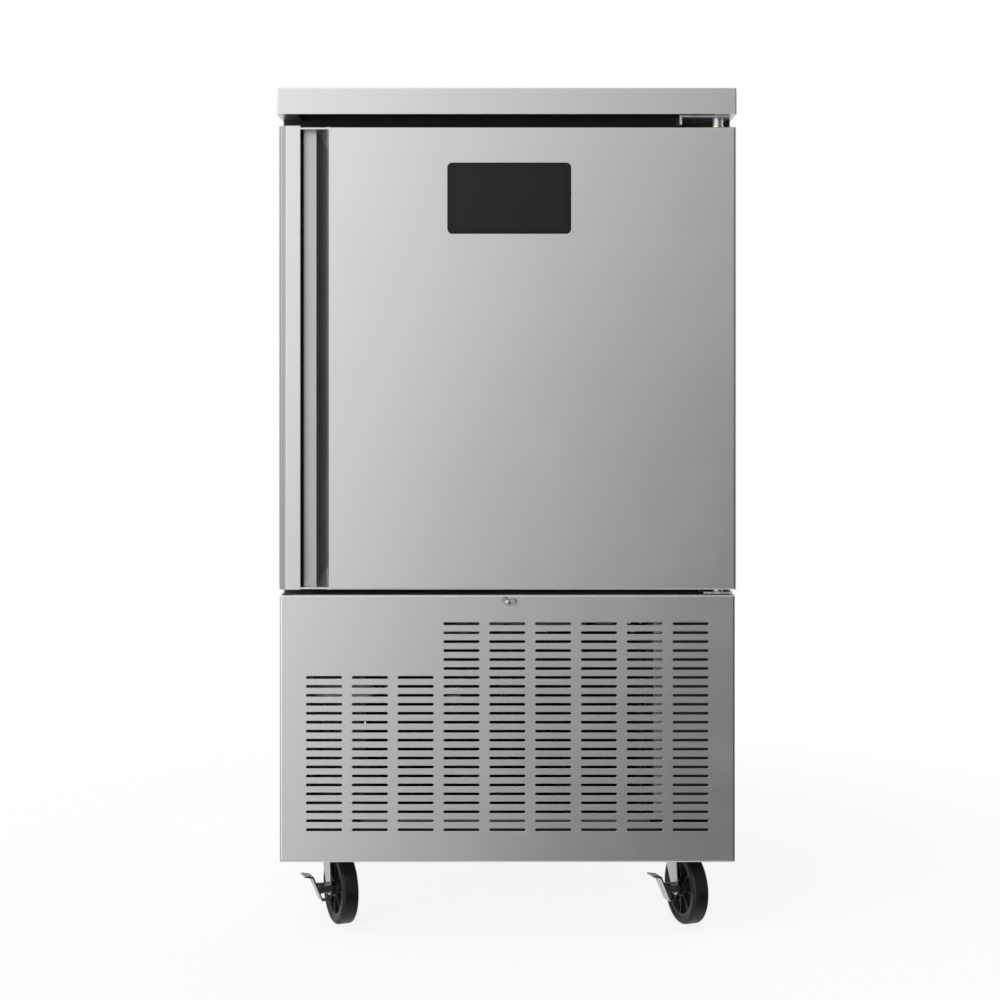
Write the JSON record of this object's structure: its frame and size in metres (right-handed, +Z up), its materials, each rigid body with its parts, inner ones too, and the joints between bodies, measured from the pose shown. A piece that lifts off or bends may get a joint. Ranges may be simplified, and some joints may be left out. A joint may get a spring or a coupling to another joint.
{
  "type": "blast chiller",
  "caption": "Upright stainless blast chiller with a hinged insulated door, touch screen, full-height side handle, slotted machine panel and braked casters.",
  "frame": {"origin": "on the floor, under the middle of the worktop", "axes": "+Z up, -Y out of the door, +X towards the hinge side"},
  "size_m": [0.8, 0.815, 1.48],
  "materials": {
    "satin_steel": "satin",
    "chamber_steel": "satin",
    "zinc_steel": "satin",
    "foam": "matte",
    "core_board": "matte",
    "black_glass": "gloss",
    "black_plastic": "matte",
    "gasket_rubber": "matte",
    "tyre_rubber": "satin",
    "aluminium_fins": "satin",
    "black_fins": "matte",
    "black_paint": "satin",
    "dark_paint": "matte",
    "copper": "satin",
    "brass_bush": "satin"
  },
  "bodies": {
    "cabinet": {"worktop": "satin_steel", "worktop_core": "core_board", "side_panel_left": "satin_steel", "side_panel_right": "satin_steel", "back_panel": "satin_steel", "insulation": "foam", "chamber_liner": "chamber_steel", "front_frame": "black_plastic", "service_rail": "zinc_steel", "base_plate": "zinc_steel", "rear_grille": "satin_steel", "evaporator_coil": "aluminium_fins", "fan_cowl": "chamber_steel", "fan_motors": "dark_paint", "tray_rack_left": "chamber_steel", "tray_rack_right": "chamber_steel", "chamber_drain": "chamber_steel", "condensate_tray": "zinc_steel", "compressor": "black_paint", "condenser_coil": "black_fins", "condenser_shroud": "dark_paint", "receiver": "black_paint", "filter_drier": "zinc_steel", "refrigerant_pipes": "copper", "electrical_box": "zinc_steel", "power_gland": "black_plastic", "hinge_bracket_top": "zinc_steel", "hinge_bracket_bottom": "zinc_steel", "hinge_screws": "zinc_steel", "caster_plates": "zinc_steel", "caster_bolts": "zinc_steel"},
    "door": {"door_skin": "satin_steel", "door_foam": "foam", "door_liner": "chamber_steel", "door_gasket": "gasket_rubber", "handle_channel": "satin_steel", "handle_end_caps": "satin_steel", "hinge_bushes": "brass_bush", "touch_glass": "black_glass", "display_module": "black_plastic"},
    "lower_panel": {"front_panel": "satin_steel"},
    "panel_screw": {"wing_screw": "zinc_steel"},
    "upper_chamber_fan": {"evaporator_fan_upper": "black_plastic"},
    "lower_chamber_fan": {"evaporator_fan_lower": "black_plastic"},
    "machine_fan": {"condenser_fan": "black_plastic"},
    "caster_front_left": {"fork_front_left": "zinc_steel"},
    "wheel_front_left": {"hub_front_left": "black_plastic", "tyre_front_left": "tyre_rubber"},
    "caster_front_right": {"fork_front_right": "zinc_steel"},
    "wheel_front_right": {"hub_front_right": "black_plastic", "tyre_front_right": "tyre_rubber"},
    "caster_rear_left": {"fork_rear_left": "zinc_steel"},
    "wheel_rear_left": {"hub_rear_left": "black_plastic", "tyre_rear_left": "tyre_rubber"},
    "caster_rear_right": {"fork_rear_right": "zinc_steel"},
    "wheel_rear_right": {"hub_rear_right": "black_plastic", "tyre_rear_right": "tyre_rubber"},
    "brake_left": {"brake_lever_left": "zinc_steel"},
    "brake_right": {"brake_lever_right": "zinc_steel"}
  },
  "joints": [
    {"name": "door_swing", "type": "hinge", "parent": "cabinet", "child": "door", "pos_m": [0.3697, -0.375, 1.0095], "axis": [0, 0, 1], "range_deg": [0, 115]},
    {"name": "panel_tilt", "type": "hinge", "parent": "cabinet", "child": "lower_panel", "pos_m": [0, -0.341, 0.14], "axis": [1, 0, 0], "range_deg": [0, 25]},
    {"name": "wing_screw_turn", "type": "hinge", "parent": "lower_panel", "child": "panel_screw", "pos_m": [0.0022, -0.392, 0.584], "axis": [0, 1, 0], "continuous": true},
    {"name": "upper_fan_spin", "type": "hinge", "parent": "cabinet", "child": "upper_chamber_fan", "pos_m": [0, 0.16, 1.187], "axis": [0, 1, 0], "continuous": true},
    {"name": "lower_fan_spin", "type": "hinge", "parent": "cabinet", "child": "lower_chamber_fan", "pos_m": [0, 0.16, 0.847], "axis": [0, 1, 0], "continuous": true},
    {"name": "machine_fan_spin", "type": "hinge", "parent": "cabinet", "child": "machine_fan", "pos_m": [0.02, -0.246, 0.34], "axis": [0, 1, 0], "continuous": true},
    {"name": "swivel_front_left", "type": "hinge", "parent": "cabinet", "child": "caster_front_left", "pos_m": [-0.31, -0.275, 0.14], "axis": [0, 0, 1], "continuous": true},
    {"name": "roll_front_left", "type": "hinge", "parent": "caster_front_left", "child": "wheel_front_left", "pos_m": [-0.29689, -0.30745, 0.0635], "axis": [0.9272, 0.3746, 0], "continuous": true},
    {"name": "swivel_front_right", "type": "hinge", "parent": "cabinet", "child": "caster_front_right", "pos_m": [0.31, -0.275, 0.14], "axis": [0, 0, 1], "continuous": true},
    {"name": "roll_front_right", "type": "hinge", "parent": "caster_front_right", "child": "wheel_front_right", "pos_m": [0.32197, -0.30789, 0.0635], "axis": [0.9397, 0.342, 0], "continuous": true},
    {"name": "swivel_rear_left", "type": "hinge", "parent": "cabinet", "child": "caster_rear_left", "pos_m": [-0.31, 0.275, 0.14], "axis": [0, 0, 1], "continuous": true},
    {"name": "roll_rear_left", "type": "hinge", "parent": "caster_rear_left", "child": "wheel_rear_left", "pos_m": [-0.30153, 0.24104, 0.0635], "axis": [0.9703, 0.2419, 0], "continuous": true},
    {"name": "swivel_rear_right", "type": "hinge", "parent": "cabinet", "child": "caster_rear_right", "pos_m": [0.31, 0.275, 0.14], "axis": [0, 0, 1], "continuous": true},
    {"name": "roll_rear_right", "type": "hinge", "parent": "caster_rear_right", "child": "wheel_rear_right", "pos_m": [0.32023, 0.24153, 0.0635], "axis": [0.9563, 0.2924, 0], "continuous": true},
    {"name": "brake_press_left", "type": "hinge", "parent": "caster_front_left", "child": "brake_left", "pos_m": [-0.3247, -0.31869, 0.066], "axis": [0.3746, -0.9272, 0], "range_deg": [0, 12]},
    {"name": "brake_press_right", "type": "hinge", "parent": "caster_front_right", "child": "brake_right", "pos_m": [0.29378, -0.31815, 0.066], "axis": [0.342, -0.9397, 0], "range_deg": [0, 12]}
  ]
}
